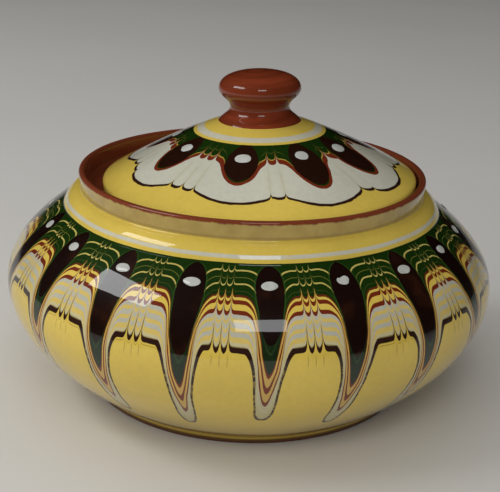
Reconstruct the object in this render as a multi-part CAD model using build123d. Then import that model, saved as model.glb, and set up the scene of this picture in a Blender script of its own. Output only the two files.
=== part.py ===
from build123d import *
import math
import os

# Squat glazed earthenware casserole with a drop-in lid.
# Frame: +Z up, origin at the centre of the foot, on the surface the pot stands on.
# The front of the pot looks along -Y.  All lengths in millimetres, angles in degrees.

# Driving dimensions of the pot
foot_radius = 81.5
foot_height = 5.0
foot_ring_width = 9.5
foot_recess = 2.5
foot_step = 2.5
foot_slope = 37.0
belly_radius = 121.0
belly_height = 56.0
shoulder_radius = 93.0
shoulder_height = 92.1
shoulder_slope = 33.0
roll_width = 7.7
roll_height = 7.6
collar_step = 1.0
collar_height = 9.3
collar_flare = 1.2
roll_start_slope = 58.0
roll_end_slope = 18.0
collar_wall = 3.5
pot_wall = 6.0
floor_thickness = 8.5

# Driving dimensions of the lid and its seat
ledge_depth = 9.5
ledge_bearing = 2.5
ledge_thickness = 4.5
seat_clearance = 0.2
lid_play = 4.7
lid_shift_share = 0.85
lid_edge_height = 7.6
lid_edge_round = 2.6
lid_ring_radius = 32.4
lid_ring_rise = 21.2
lid_ring_slope = 24.0
lid_crown_rise = 26.0
lid_crown_slope = 20.0
lid_edge_slope = 30.0
lid_wall = 6.0
lid_foot_chamfer = 1.2

# Driving dimensions of the knob
knob_base_radius = 20.2
knob_waist_radius = 14.5
knob_cap_radius = 20.1
knob_waist_rise = 7.5
knob_lip_rise = 13.9
knob_cap_rise = 16.3
knob_height = 24.0
knob_lip_step = 0.9

# Slip layers and the drops laid on them
slip_thickness = 0.8
slip_relief = 0.3
dot_relief = 0.3
tongue_count = 19
tongue_phase = 5.0
tongue_width = 11.8
tongue_top_drop = 1.2
tongue_length = 36.0
pot_dot_width = 7.4
pot_dot_height = 2.8
pot_dot_drop = 4.6
ring_line_width = 1.6
ring_line_inset = 0.7
lid_drop_count = 9
lid_drop_phase = -10.5
lid_drop_width = 15.0
lid_drop_start = 1.6
lid_drop_length = 26.0
lid_dot_width = 7.1
lid_dot_length = 5.7
lid_dot_inset = 8.0
lid_line_width = 2.6
lid_line_inset = 5.0

# Values that follow from the ones above
roll_radius = shoulder_radius - roll_width
collar_radius = roll_radius - collar_step
rim_radius = collar_radius + collar_flare
collar_base_height = shoulder_height + roll_height
rim_height = collar_base_height + collar_height
collar_inner_radius = rim_radius - collar_wall
crest_radius = collar_wall / 2
crest_height = rim_height - crest_radius
ledge_height = rim_height - ledge_depth
ledge_inner_radius = collar_inner_radius - 2 * lid_play - ledge_bearing
lid_radius = collar_inner_radius - lid_play
lid_shift = lid_shift_share * lid_play
lid_bottom = ledge_height + seat_clearance
lid_edge_top = lid_bottom + lid_edge_height
lid_dome_radius = lid_radius - lid_edge_round
clay_level = -slip_thickness
pot_inside_level = clay_level - pot_wall
lid_inside_level = clay_level - lid_wall
tongue_top = shoulder_height - tongue_top_drop
lid_place = Location((lid_shift, 0, 0))


def slope(angle):
    """Unit vector in the section plane, at this angle from the outward horizontal."""
    return (math.cos(math.radians(angle)), math.sin(math.radians(angle)))


def shifted(point, angle, level):
    """Point moved by level along the outward normal of a surface that climbs at this angle."""
    run, rise = slope(angle)
    return (point[0] + level * rise, point[1] - level * run)


def section(*points):
    """Straight edges through radius and height pairs, laid in the XZ section."""
    return Polyline(*[(radius, 0, height) for radius, height in points])


def section_curve(points, angles):
    """Smooth curve through radius and height pairs, running at the given angles."""
    ends = [(radius, 0, height) for radius, height in points]
    tangents = [(slope(angle)[0], 0, slope(angle)[1]) for angle in angles]
    return Spline(*ends, tangents=tangents)


def turned(*runs):
    """Solid of revolution about Z of the closed section that the runs make."""
    edges = [edge for run in runs for edge in run.edges()]
    return revolve(Face(Wire(edges)), Axis.Z)


# Outside of the pot at a level above (or below) the finished surface


def belly_points(level):
    foot_point = (foot_radius + foot_step, foot_height)
    belly_point = (belly_radius, belly_height)
    shoulder_point = (shoulder_radius, shoulder_height)
    return [
        shifted(foot_point, foot_slope, level),
        shifted(belly_point, 90, level),
        shifted(shoulder_point, 180 - shoulder_slope, level),
    ]


def belly_curve(level):
    return section_curve(belly_points(level), [foot_slope, 90, 180 - shoulder_slope])


def roll_points(level):
    base_point = (roll_radius, collar_base_height)
    return [
        shifted((shoulder_radius, shoulder_height), 180 - shoulder_slope, level),
        shifted(base_point, 180 - shoulder_slope, level),
    ]


def roll_curve(level):
    return section_curve(roll_points(level), [180 - roll_start_slope, 180 - roll_end_slope])


def collar_points(level):
    return [
        roll_points(level)[1],
        (collar_radius + level, collar_base_height + level / 2 + collar_step / 2),
        (rim_radius + level, crest_height),
    ]


def pot_shell(curve, low, high):
    """Thin turned layer between two levels of one of the outside curves."""
    inner = curve(low)
    outer = curve(high)
    starts = Line(inner @ 0, outer @ 0)
    ends = Line(inner @ 1, outer @ 1)
    return turned(inner, outer, starts, ends)


def make_pot_body():
    """Thrown clay pot: foot ring, belly, shoulder, ledge for the lid, and collar."""
    foot_inner = foot_radius - foot_ring_width
    inside = belly_points(pot_inside_level)
    floor_edge = (inside[0][0] - pot_wall * 2, floor_thickness)
    base = section(
        (0, floor_thickness),
        (0, foot_recess),
        (foot_inner - foot_recess, foot_recess),
        (foot_inner, 0),
        (foot_radius, 0),
        (foot_radius, foot_height),
        belly_points(clay_level)[0],
    )
    crest = ThreePointArc(
        (rim_radius, 0, crest_height),
        (rim_radius - crest_radius, 0, rim_height),
        (collar_inner_radius, 0, crest_height),
    )
    ledge = section(
        (collar_inner_radius, crest_height),
        (collar_inner_radius, ledge_height),
        (ledge_inner_radius, ledge_height),
        (ledge_inner_radius, ledge_height - ledge_thickness),
        inside[2],
    )
    floor = section_curve([floor_edge, inside[0]], [0, foot_slope])
    return turned(
        base,
        belly_curve(clay_level),
        roll_curve(clay_level),
        section(*collar_points(clay_level), (rim_radius, crest_height)),
        crest,
        ledge,
        belly_curve(pot_inside_level),
        floor,
        section(floor_edge, (0, floor_thickness)),
    )


def make_pot_slip_coat():
    """Yellow slip over the whole outside, from the foot step to under the rim's crest."""
    return turned(
        section(belly_points(clay_level)[0], belly_points(0)[0]),
        belly_curve(0),
        roll_curve(0),
        section(*collar_points(0), collar_points(clay_level)[2]),
        section(*collar_points(clay_level)),
        roll_curve(clay_level),
        belly_curve(clay_level),
    )


def ring_between(inner, outer, bottom, top):
    """Upright ring that cuts a strip out of a turned layer."""
    middle = (bottom + top) / 2
    ring = Cylinder(outer, top - bottom) - Cylinder(inner, top - bottom)
    return Pos(0, 0, middle) * ring


def make_pot_ring_line():
    """Pale line laid round the roll, just above the patterned band."""
    strip = pot_shell(roll_curve, 0, slip_relief)
    outer = shoulder_radius - ring_line_inset
    cutter = ring_between(outer - ring_line_width, outer, shoulder_height - 5, rim_height)
    return strip & cutter


def around(shape, count, phase, place=Location()):
    """Copies of the front shape, evenly spaced round Z, then all put in place together."""
    copies = [Rot(0, 0, phase + step * 360 / count) * shape for step in range(count)]
    return Compound(children=[place * copy for copy in copies])


def tear_face(top, length, width):
    """Flat drop outline in the XZ plane, round at the top and pointed at the bottom."""
    head = top - length * 0.22
    waist = top - length * 0.62
    outline = Spline(
        (0, 0, top),
        (width / 2, 0, head),
        (width * 0.3, 0, waist),
        (0, 0, top - length),
        (-width * 0.3, 0, waist),
        (-width / 2, 0, head),
        periodic=True,
    )
    return Face(Wire(outline.edges()))


def make_pot_dark_drops():
    """Dark slip drops pulled down the belly, one at the head of each tongue."""
    outline = tear_face(tongue_top, tongue_length, tongue_width)
    prism = extrude(outline, amount=belly_radius * 1.2, dir=(0, -1, 0))
    drop = pot_shell(belly_curve, 0, slip_relief) & prism
    return around(drop, tongue_count, tongue_phase)


def make_pot_pale_dots():
    """Pale oval dot set on each dark drop."""
    height = tongue_top - pot_dot_drop
    outline = Plane.XZ * Pos(0, height) * Ellipse(pot_dot_width / 2, pot_dot_height / 2)
    prism = extrude(outline, amount=belly_radius * 1.2, dir=(0, -1, 0))
    dot = pot_shell(belly_curve, slip_relief, slip_relief + dot_relief) & prism
    return around(dot, tongue_count, tongue_phase)


# Lid


def dome_points(level):
    edge = (lid_dome_radius, lid_edge_top)
    ring = (lid_ring_radius, lid_edge_top + lid_ring_rise)
    crown = (knob_base_radius, lid_edge_top + lid_crown_rise)
    return [
        shifted(edge, 180 - lid_edge_slope, level),
        shifted(ring, 180 - lid_ring_slope, level),
        shifted(crown, 180 - lid_crown_slope, level),
    ]


def dome_curve(level):
    angles = [180 - lid_edge_slope, 180 - lid_ring_slope, 180 - lid_crown_slope]
    return section_curve(dome_points(level), angles)


def make_lid_dome():
    """Thrown clay lid: rounded edge that sits on the ledge, dome, and flat for the knob."""
    inside = dome_points(lid_inside_level)
    crown = dome_points(clay_level)[2]
    foot = section(
        (inside[0][0], lid_bottom),
        (lid_radius - lid_foot_chamfer, lid_bottom),
        (lid_radius, lid_bottom + lid_foot_chamfer),
        (lid_radius, lid_edge_top - lid_edge_round),
    )
    edge = section_curve(
        [(lid_radius, lid_edge_top - lid_edge_round), dome_points(0)[0]],
        [90, 180 - lid_edge_slope],
    )
    return turned(
        foot,
        edge,
        section(dome_points(0)[0], dome_points(clay_level)[0]),
        dome_curve(clay_level),
        section(crown, (0, crown[1]), (0, inside[2][1]), inside[2]),
        dome_curve(lid_inside_level),
        section(inside[0], (inside[0][0], lid_bottom)),
    )


def make_lid_slip_coat():
    """Yellow slip over the dome, from the edge to the foot of the knob."""
    return pot_shell(dome_curve, clay_level, 0)


def make_lid_ring_line():
    """Pale line round the dome, a little outside the knob."""
    outer = lid_ring_radius - lid_line_inset / 2
    height = lid_edge_top + lid_ring_rise
    cutter = ring_between(outer - lid_line_width, outer, height - 5, height + 10)
    return pot_shell(dome_curve, 0, slip_relief) & cutter


def flat_tear(start, length, width):
    """Drop outline in plan, its round head near the knob and its tip towards the edge."""
    near = start + length * 0.26
    wide = start + length * 0.6
    outline = Spline(
        (0, -start, 0),
        (width * 0.36, -near, 0),
        (width * 0.5, -wide, 0),
        (0, -start - length, 0),
        (-width * 0.5, -wide, 0),
        (-width * 0.36, -near, 0),
        periodic=True,
    )
    return Face(Wire(outline.edges()))


def make_lid_dark_drops():
    """Dark slip drops that run out over the dome from the green band."""
    start = lid_ring_radius + lid_drop_start
    prism = extrude(flat_tear(start, lid_drop_length, lid_drop_width), amount=rim_height * 2, dir=(0, 0, 1))
    drop = pot_shell(dome_curve, 0, slip_relief) & prism
    return around(drop, lid_drop_count, lid_drop_phase, lid_place)


def make_lid_pale_dots():
    """Pale oval dot on each of the lid's drops."""
    radius = lid_ring_radius + lid_drop_start + lid_dot_inset
    outline = Pos(0, -radius) * Ellipse(lid_dot_width / 2, lid_dot_length / 2)
    prism = extrude(outline, amount=rim_height * 2, dir=(0, 0, 1))
    dot = pot_shell(dome_curve, slip_relief, slip_relief + dot_relief) & prism
    return around(dot, lid_drop_count, lid_drop_phase, lid_place)


def make_lid_knob():
    """Knob thrown on its own and luted to the crown of the dome."""
    seat = dome_points(clay_level)[2]
    foot = dome_points(0)[2]
    base = seat[1]
    waist = (knob_waist_radius, base + knob_waist_rise)
    lip = (knob_cap_radius - knob_lip_step, base + knob_lip_rise)
    cap = (knob_cap_radius, base + knob_cap_rise)
    stem = section_curve([foot, waist, lip], [125, 90, 48])
    dome = section_curve([lip, cap, (0, base + knob_height)], [60, 90, 180])
    return turned(section((0, base), seat, foot), stem, dome, section((0, base + knob_height), (0, base)))


pieces = {
    "pot_body": make_pot_body(),
    "pot_slip_coat": make_pot_slip_coat(),
    "pot_ring_line": make_pot_ring_line(),
    "pot_dark_drops": make_pot_dark_drops(),
    "pot_pale_dots": make_pot_pale_dots(),
    "lid_dome": lid_place * make_lid_dome(),
    "lid_slip_coat": lid_place * make_lid_slip_coat(),
    "lid_ring_line": lid_place * make_lid_ring_line(),
    "lid_dark_drops": make_lid_dark_drops(),
    "lid_pale_dots": make_lid_pale_dots(),
    "lid_knob": lid_place * make_lid_knob(),
}

os.makedirs("parts", exist_ok=True)
for name, piece in pieces.items():
    export_step(piece, f"parts/{name}.step")
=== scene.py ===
"""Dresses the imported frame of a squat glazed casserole: clay, slip pattern, glaze, floor and light."""
import logging
import math
from dataclasses import dataclass, field
from enum import Enum
from typing import Optional, Sequence, Union

import bmesh
import bpy
from mathutils import Matrix, Vector


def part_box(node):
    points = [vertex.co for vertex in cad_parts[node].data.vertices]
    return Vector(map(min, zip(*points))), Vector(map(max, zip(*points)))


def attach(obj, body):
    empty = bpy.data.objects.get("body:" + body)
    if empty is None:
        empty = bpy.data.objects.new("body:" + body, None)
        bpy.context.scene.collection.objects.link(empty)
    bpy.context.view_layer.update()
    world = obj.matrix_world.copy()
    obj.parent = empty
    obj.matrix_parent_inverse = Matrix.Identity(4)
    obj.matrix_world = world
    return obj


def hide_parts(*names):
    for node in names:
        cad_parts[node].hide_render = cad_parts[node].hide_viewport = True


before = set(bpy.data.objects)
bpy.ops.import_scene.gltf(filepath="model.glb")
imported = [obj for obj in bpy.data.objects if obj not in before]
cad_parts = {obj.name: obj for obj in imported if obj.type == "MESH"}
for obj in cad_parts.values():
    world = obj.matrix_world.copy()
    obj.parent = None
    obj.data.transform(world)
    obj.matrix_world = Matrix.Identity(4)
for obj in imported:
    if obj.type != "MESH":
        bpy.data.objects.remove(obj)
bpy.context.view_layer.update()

LOG = logging.getLogger("casserole")
MM = 0.001
UV_NAME = "UVMap"

Point = tuple[float, float]
Colour = tuple[float, float, float]
Number = Union["Num", float, int]


# Node trees


class Num:
    """A number in a node tree; arithmetic on it adds Math nodes."""

    def __init__(self, tree: "Tree", socket: bpy.types.NodeSocket) -> None:
        """Wraps one output socket.

        Args:
            tree: the tree that the socket belongs to.
            socket: the output that carries the number.
        """
        self.tree = tree
        self.socket = socket

    def __add__(self, other: Number) -> "Num":
        """Sum."""
        return self.tree.math("ADD", self, other)

    def __sub__(self, other: Number) -> "Num":
        """Difference."""
        return self.tree.math("SUBTRACT", self, other)

    def __rsub__(self, other: Number) -> "Num":
        """Difference, number first."""
        return self.tree.math("SUBTRACT", other, self)

    def __mul__(self, other: Number) -> "Num":
        """Product."""
        return self.tree.math("MULTIPLY", self, other)

    def __rmul__(self, other: Number) -> "Num":
        """Product, number first."""
        return self.tree.math("MULTIPLY", other, self)

    def __truediv__(self, other: Number) -> "Num":
        """Quotient."""
        return self.tree.math("DIVIDE", self, other)

    def __rtruediv__(self, other: Number) -> "Num":
        """Quotient, number first."""
        return self.tree.math("DIVIDE", other, self)

    def floor(self) -> "Num":
        """Whole part."""
        return self.tree.math("FLOOR", self)

    def size(self) -> "Num":
        """Absolute value."""
        return self.tree.math("ABSOLUTE", self)

    def sine(self) -> "Num":
        """Sine of an angle in radians."""
        return self.tree.math("SINE", self)

    def cosine(self) -> "Num":
        """Cosine of an angle in radians."""
        return self.tree.math("COSINE", self)

    def modulo(self, other: Number) -> "Num":
        """Remainder that is never negative."""
        return self.tree.math("FLOORED_MODULO", self, other)

    def power(self, other: Number) -> "Num":
        """Power."""
        return self.tree.math("POWER", self, other)

    def least(self, other: Number) -> "Num":
        """The smaller of two numbers."""
        return self.tree.math("MINIMUM", self, other)

    def most(self, other: Number) -> "Num":
        """The larger of two numbers."""
        return self.tree.math("MAXIMUM", self, other)

    def unit(self) -> "Num":
        """Held between 0 and 1."""
        return self.tree.math("ADD", self, 0.0, clamp=True)

    def rise(self, start: float, end: float) -> "Num":
        """Smooth step from 0 at start to 1 at end; start may be the larger."""
        if start <= end:
            return self.tree.smooth(self, start, end, 0.0, 1.0)
        return self.tree.smooth(self, end, start, 1.0, 0.0)

    def inside(self, low: float, high: float, soft: float = 0.1) -> "Num":
        """Mask that is 1 between low and high, with soft edges."""
        return self.rise(low - soft, low + soft) * self.rise(high + soft, high - soft)


class Tree:
    """What shader trees and geometry trees share: adding and joining nodes."""

    def __init__(self, tree: bpy.types.NodeTree) -> None:
        """Wraps a node tree.

        Args:
            tree: the tree that nodes are added to.
        """
        self.tree = tree

    def add(self, kind: str, **settings: object) -> bpy.types.Node:
        """Adds a node and sets its properties.

        Args:
            kind: the node's type name.
            settings: properties of the node and their values.

        Returns:
            The new node.
        """
        node = self.tree.nodes.new(kind)
        for key, value in settings.items():
            setattr(node, key, value)
        return node

    def join(self, source: object, target: bpy.types.NodeSocket) -> None:
        """Links a socket or number to an input, or sets a plain value on it.

        Args:
            source: a Num, an output socket or a plain value.
            target: the input socket.
        """
        if isinstance(source, Num):
            source = source.socket
        if isinstance(source, bpy.types.NodeSocket):
            self.tree.links.new(source, target)
        elif isinstance(source, tuple) and target.type == "RGBA":
            target.default_value = (*source[:3], 1.0)
        else:
            target.default_value = source

    def feed(self, node: bpy.types.Node, **inputs: object) -> bpy.types.Node:
        """Sets a node's live inputs by name, with underscores for spaces.

        Args:
            node: the node to feed.
            inputs: values for its inputs.

        Returns:
            The same node.
        """
        for key, value in inputs.items():
            name = key.replace("_", " ")
            sockets = [s for s in node.inputs if s.name == name and s.enabled]
            self.join(value, sockets[0])
        return node

    def math(self, operation: str, *values: Number, clamp: bool = False) -> Num:
        """Adds a Math node.

        Args:
            operation: the node's operation.
            values: its inputs in order.
            clamp: whether the result is held between 0 and 1.

        Returns:
            The result.
        """
        node = self.add("ShaderNodeMath", operation=operation, use_clamp=clamp)
        for value, socket in zip(values, node.inputs):
            self.join(value, socket)
        return Num(self, node.outputs[0])

    def smooth(self, value: Num, start: float, end: float, low: float, high: float) -> Num:
        """Smooth step between two values.

        Args:
            value: the number that drives it.
            start: where the step begins.
            end: where the step ends.
            low: result before the step.
            high: result after the step.

        Returns:
            The stepped number.
        """
        node = self.add("ShaderNodeMapRange", interpolation_type="SMOOTHSTEP")
        for source, socket in zip((value, start, end, low, high), node.inputs):
            self.join(source, socket)
        return Num(self, node.outputs[0])

    def span(self, value: Num, start: float, end: float, low: float, high: float) -> Num:
        """Straight run between two values, held at its ends."""
        node = self.add("ShaderNodeMapRange", interpolation_type="LINEAR", clamp=True)
        for source, socket in zip((value, start, end, low, high), node.inputs):
            self.join(source, socket)
        return Num(self, node.outputs[0])

    def vector(self, x: Number, y: Number, z: Number) -> bpy.types.NodeSocket:
        """Joins three numbers into a vector."""
        node = self.add("ShaderNodeCombineXYZ")
        for source, socket in zip((x, y, z), node.inputs):
            self.join(source, socket)
        return node.outputs[0]

    def parts(self, vector: bpy.types.NodeSocket) -> tuple[Num, Num, Num]:
        """Splits a vector into its three numbers."""
        node = self.add("ShaderNodeSeparateXYZ")
        self.join(vector, node.inputs[0])
        return Num(self, node.outputs[0]), Num(self, node.outputs[1]), Num(self, node.outputs[2])

    def noise(self, vector: object, scale: float, detail: float = 2.0, rough: float = 0.5) -> Num:
        """Noise from about 0 to 1.

        Args:
            vector: where it is read.
            scale: features per unit of the vector.
            detail: octaves.
            rough: how strong the finer octaves are.

        Returns:
            The noise value.
        """
        node = self.add("ShaderNodeTexNoise", noise_dimensions="3D")
        self.feed(node, Vector=vector, Scale=scale, Detail=detail, Roughness=rough)
        return Num(self, node.outputs[0])

    def chance(self, value: Number) -> Num:
        """A fixed random number from 0 to 1 for each whole number."""
        node = self.add("ShaderNodeTexWhiteNoise", noise_dimensions="1D")
        self.join(value, node.inputs["W"])
        return Num(self, node.outputs["Value"])

    def curve(self, value: Num, handles: Sequence[Point]) -> Num:
        """Smooth curve through a few handles.

        Args:
            value: number from 0 to 1.
            handles: pairs of input and result, from 0 to 1.

        Returns:
            The curve's result.
        """
        node = self.add("ShaderNodeFloatCurve")
        line = node.mapping.curves[0]
        while len(line.points) < len(handles):
            line.points.new(0.5, 0.5)
        for point, place in zip(line.points, handles):
            point.location = place
            point.handle_type = "AUTO_CLAMPED"
        node.mapping.update()
        self.join(value, node.inputs["Value"])
        return Num(self, node.outputs[0])


class Paint(Tree):
    """A material's tree, with the nodes that glazes need."""

    def __init__(self, name: str) -> None:
        """Makes an empty material with a Principled shader.

        Args:
            name: the material's name.
        """
        self.material = bpy.data.materials.new(name)
        self.material.use_nodes = True
        super().__init__(self.material.node_tree)
        self.tree.nodes.clear()
        self.shader = self.add("ShaderNodeBsdfPrincipled")
        output = self.add("ShaderNodeOutputMaterial")
        self.tree.links.new(self.shader.outputs[0], output.inputs["Surface"])
        self.place = self.add("ShaderNodeTexCoord").outputs["Object"]

    def uv(self) -> tuple[Num, Num]:
        """The piece's own map: turn round the axis from 0 to 1, and its measure in millimetres."""
        node = self.add("ShaderNodeUVMap", uv_map=UV_NAME)
        turn, along, _ = self.parts(node.outputs[0])
        return turn, along * 1000.0

    def mix(self, amount: Number, first: object, second: object) -> bpy.types.NodeSocket:
        """Colour that goes from first to second as amount goes from 0 to 1."""
        node = self.add("ShaderNodeMix", data_type="RGBA")
        self.join(amount, node.inputs[0])
        self.join(first, node.inputs[6])
        self.join(second, node.inputs[7])
        return node.outputs[2]

    def scaled(self, colour: object, amount: Num) -> bpy.types.NodeSocket:
        """Colour made lighter or darker by a number."""
        node = self.add("ShaderNodeVectorMath", operation="SCALE")
        self.join(colour, node.inputs[0])
        self.join(amount, node.inputs["Scale"])
        return node.outputs[0]

    def bands(self, value: Num, stops: Sequence[tuple[float, Colour]], end: float) -> bpy.types.NodeSocket:
        """Bands of flat colour with crisp edges.

        Args:
            value: what is measured across the bands.
            stops: where each band starts, and its colour.
            end: the measure at the end of the last band.

        Returns:
            The colour.
        """
        node = self.add("ShaderNodeValToRGB")
        ramp = node.color_ramp
        ramp.interpolation = "CONSTANT"
        while len(ramp.elements) < len(stops):
            ramp.elements.new(1.0)
        for element, (start, colour) in zip(ramp.elements, stops):
            element.position = start / end
            element.color = (*colour, 1.0)
        self.join(value / end, node.inputs[0])
        return node.outputs[0]

    def bump(self, height: Num, depth: float) -> bpy.types.NodeSocket:
        """Normal bent by a height.

        Args:
            height: the height, from about 0 to 1.
            depth: real depth of a height of 1, in metres.

        Returns:
            The normal.
        """
        node = self.add("ShaderNodeBump")
        self.feed(node, Strength=1.0, Distance=depth, Height=height)
        return node.outputs[0]


# Turned forms


@dataclass
class Outline:
    """Half section of a turned form, drawn point by point in millimetres.

    Attributes:
        points: radius and height pairs.
        measures: the number that the pattern reads at each point.
    """

    points: list[Point] = field(default_factory=list)
    measures: list[float] = field(default_factory=list)

    def start(self, radius: float, height: float, measure: float = 0.0) -> "Outline":
        """Puts down the first point."""
        self.points.append((radius, height))
        self.measures.append(measure)
        return self

    def line(self, radius: float, height: float, steps: int = 1) -> "Outline":
        """Straight run to a point."""
        first = self.points[-1]
        for step in range(1, steps + 1):
            part = step / steps
            self._put(first[0] + (radius - first[0]) * part, first[1] + (height - first[1]) * part)
        return self

    def soft(self, corner: Point, end: Point, steps: int = 6) -> "Outline":
        """Rounded corner from the last point to end, pulled towards corner."""
        first = self.points[-1]
        for step in range(1, steps + 1):
            t = step / steps
            weights = ((1 - t) ** 2, 2 * t * (1 - t), t * t)
            places = (first, corner, end)
            self._put(*(sum(w * p[axis] for w, p in zip(weights, places)) for axis in (0, 1)))
        return self

    def sweep(self, end: Point, leave: float, arrive: float, steps: int) -> "Outline":
        """Smooth curve from the last point.

        Args:
            end: where it ends.
            leave: angle it starts at, in degrees.
            arrive: angle it ends at, in degrees.
            steps: how many points it is given.

        Returns:
            The outline.
        """
        first = self.points[-1]
        chord = math.dist(first, end)
        a = (math.cos(math.radians(leave)) * chord, math.sin(math.radians(leave)) * chord)
        b = (math.cos(math.radians(arrive)) * chord, math.sin(math.radians(arrive)) * chord)
        for step in range(1, steps + 1):
            t = step / steps
            h = (2 * t**3 - 3 * t**2 + 1, t**3 - 2 * t**2 + t, -2 * t**3 + 3 * t**2, t**3 - t**2)
            self._put(*(h[0] * first[i] + h[1] * a[i] + h[2] * end[i] + h[3] * b[i] for i in (0, 1)))
        return self

    def _put(self, radius: float, height: float) -> None:
        """Adds a point and carries the measure on by its distance."""
        step = math.dist(self.points[-1], (radius, height))
        self.points.append((radius, height))
        self.measures.append(self.measures[-1] + step)

    def shift_measure(self, index: int, value: float) -> None:
        """Makes the measure at one point a given value, and moves the rest with it."""
        change = value - self.measures[index]
        self.measures = [measure + change for measure in self.measures]

    def at(self, measure: float) -> tuple[Point, Point]:
        """Point and outward normal where the measure first reaches a value.

        Args:
            measure: the value to look for.

        Returns:
            Radius and height of the point, and of the unit normal.
        """
        for index in range(1, len(self.points)):
            low, high = self.measures[index - 1], self.measures[index]
            if low <= measure <= high and high > low:
                part = (measure - low) / (high - low)
                (r0, z0), (r1, z1) = self.points[index - 1], self.points[index]
                length = math.dist((r0, z0), (r1, z1))
                normal = ((z0 - z1) / length, (r1 - r0) / length)
                return (r0 + (r1 - r0) * part, z0 + (z1 - z0) * part), normal
        raise ValueError(f"measure {measure} is off the outline")


class GeometryTree(Tree):
    """A Geometry Nodes tree with named inputs."""

    def __init__(self, name: str) -> None:
        """Makes a modifier tree that takes and gives geometry.

        Args:
            name: the tree's name.
        """
        super().__init__(bpy.data.node_groups.new(name, "GeometryNodeTree"))
        self.tree.is_modifier = True
        face = self.tree.interface
        face.new_socket(name="Geometry", in_out="INPUT", socket_type="NodeSocketGeometry")
        face.new_socket(name="Geometry", in_out="OUTPUT", socket_type="NodeSocketGeometry")
        self.entry = self.add("NodeGroupInput")
        self.exit = self.add("NodeGroupOutput")
        self.keys: dict[str, str] = {}

    def number(self, name: str, kind: str = "NodeSocketFloat") -> Num:
        """Adds a named input and returns it."""
        socket = self.tree.interface.new_socket(name=name, in_out="INPUT", socket_type=kind)
        self.keys[name] = socket.identifier
        return Num(self, next(s for s in self.entry.outputs if s.identifier == socket.identifier))

    def close(self, shape: bpy.types.NodeSocket, finish: Num) -> None:
        """Ends the tree with real geometry and its material.

        Args:
            shape: the geometry so far.
            finish: the input that carries the material.
        """
        real = self.add("GeometryNodeRealizeInstances")
        self.feed(real, Geometry=shape)
        dressed = self.add("GeometryNodeSetMaterial")
        self.feed(dressed, Geometry=real.outputs[0], Material=finish)
        self.join(dressed.outputs[0], self.exit.inputs["Geometry"])

    def run(self, base: bpy.types.Object, name: str, values: dict[str, object]) -> bpy.types.Object:
        """Runs the tree on an object and returns the result as a plain mesh object.

        Args:
            base: the object the tree starts from, which is then removed.
            name: name of the finished piece.
            values: a value for each named input.

        Returns:
            The finished piece, at the origin, unturned and unscaled.
        """
        modifier = base.modifiers.new("build", "NODES")
        modifier.node_group = self.tree
        for key, value in values.items():
            modifier[self.keys[key]] = value
        base.update_tag()
        depsgraph = bpy.context.evaluated_depsgraph_get()
        evaluated = base.evaluated_get(depsgraph)
        mesh = bpy.data.meshes.new_from_object(evaluated, depsgraph=depsgraph)
        mesh.name = name
        old = base.data
        base.modifiers.remove(modifier)
        bpy.data.objects.remove(base)
        bpy.data.meshes.remove(old)
        piece = bpy.data.objects.new(name, mesh)
        bpy.context.scene.collection.objects.link(piece)
        return piece


def outward(piece: bpy.types.Object, crease: float = 40.0) -> None:
    """Turns a closed piece's faces outwards and keeps its real corners crisp.

    Args:
        piece: the piece to mend.
        crease: the angle past which an edge stays sharp, in degrees.
    """
    work = bmesh.new()
    work.from_mesh(piece.data)
    bmesh.ops.recalc_face_normals(work, faces=work.faces)
    if work.calc_volume(signed=True) < 0:
        bmesh.ops.reverse_faces(work, faces=work.faces)
    work.to_mesh(piece.data)
    work.free()
    piece.data.shade_smooth()
    piece.data.set_sharp_from_angle(angle=math.radians(crease))


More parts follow.
